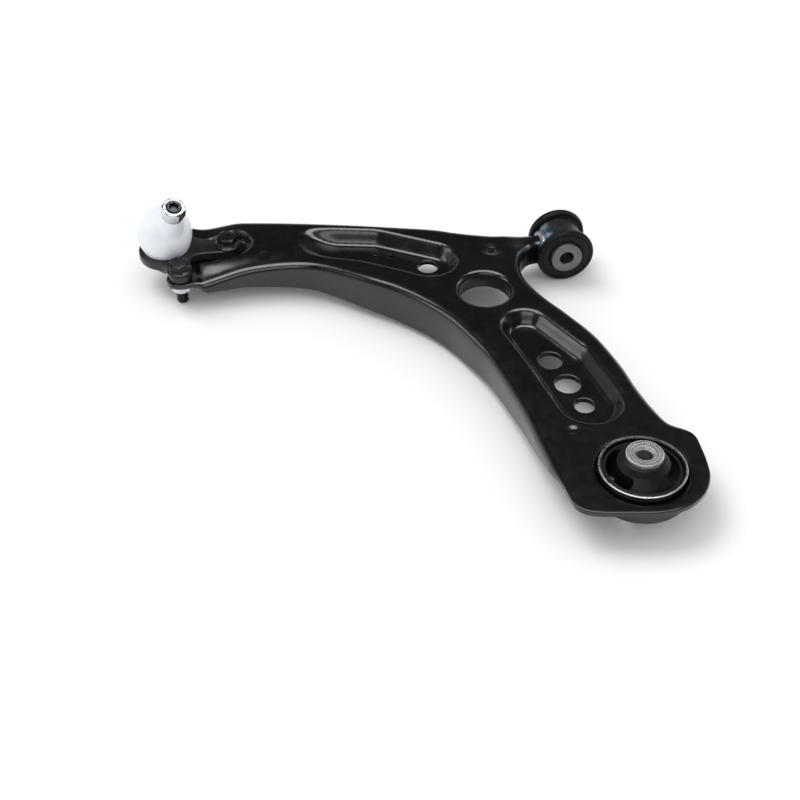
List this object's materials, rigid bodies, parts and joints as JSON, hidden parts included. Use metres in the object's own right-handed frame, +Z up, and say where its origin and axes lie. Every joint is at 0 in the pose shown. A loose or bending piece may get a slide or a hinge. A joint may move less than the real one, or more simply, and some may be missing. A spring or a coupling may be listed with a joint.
{
  "type": "control arm",
  "caption": "Pressed L-shaped suspension control arm with bolted ball joint, capped stud, and front and rear rubber bushes.",
  "frame": {"origin": "on the surface that the arm rests on, at the middle of its bounding box", "axes": "+X inboard towards the two bushes, +Y to the front of the car along the front bush, +Z up along the rear bush"},
  "size_m": [0.4001, 0.4316, 0.0915],
  "materials": {
    "coated_sheet": "satin black electrocoat",
    "plain_steel": "machined",
    "dull_steel": "dull, lightly oxidised",
    "bright_steel": "bright, serrated ends",
    "bush_rubber": "matte",
    "boot_rubber": "matte",
    "forged_steel": "satin black over a forged surface",
    "stud_steel": "dark, phosphated",
    "black_bolt": "black coated",
    "zinc_plate": "bright zinc plate",
    "seat_plastic": "matte",
    "cap_plastic": "milky, slightly translucent"
  },
  "bodies": {
    "arm": {"arm_shell": "coated_sheet", "front_eye_tube": "coated_sheet", "front_bush_outer_sleeve": "plain_steel", "front_bush_rubber": "bush_rubber", "rear_bush_outer_sleeve": "plain_steel", "rear_bush_rubber": "bush_rubber", "ball_joint_housing": "forged_steel", "ball_joint_cover": "forged_steel", "ball_seat": "seat_plastic", "boot_ring_lower": "plain_steel", "flange_bolt_1": "black_bolt", "flange_bolt_2": "black_bolt", "flange_bolt_3": "black_bolt", "flange_nut_1": "zinc_plate", "flange_nut_2": "zinc_plate", "flange_nut_3": "zinc_plate"},
    "front_sleeve": {"front_bush_inner_sleeve": "dull_steel"},
    "rear_sleeve": {"rear_bush_inner_sleeve": "bright_steel"},
    "cap_top": {"protective_cap": "cap_plastic"},
    "boot_top": {"boot_ring_upper": "plain_steel", "dust_boot": "boot_rubber"},
    "stud": {"ball_stud": "stud_steel", "stud_nut": "zinc_plate"}
  },
  "joints": [
    {"name": "front_bush_twist", "type": "hinge", "parent": "arm", "child": "front_sleeve", "pos_m": [0.1685, 0.1285, 0.0255], "axis": [0, 1, 0], "range_deg": [-20, 20], "stiffness_Nm_per_rad": 1.5},
    {"name": "rear_bush_twist", "type": "hinge", "parent": "arm", "child": "rear_sleeve", "pos_m": [0.1494, -0.1699, 0.026], "axis": [0, 0, 1], "range_deg": [-12, 12], "stiffness_Nm_per_rad": 3},
    {"name": "ball_swing_along", "type": "hinge", "parent": "arm", "child": "cap_top", "pos_m": [-0.1744, 0.1745, 0.026], "axis": [-0.9272, -0.3746, 0], "range_deg": [-2, 42], "deforming": ["dust_boot", "protective_cap"]},
    {"name": "ball_swing_across", "type": "hinge", "parent": "cap_top", "child": "boot_top", "pos_m": [-0.1744, 0.1745, 0.026], "axis": [0.3461, -0.8566, -0.3827], "range_deg": [-6, 6]},
    {"name": "stud_spin", "type": "hinge", "parent": "boot_top", "child": "stud", "pos_m": [-0.1744, 0.1745, 0.026], "axis": [0.1434, -0.3548, 0.9239], "continuous": true}
  ]
}
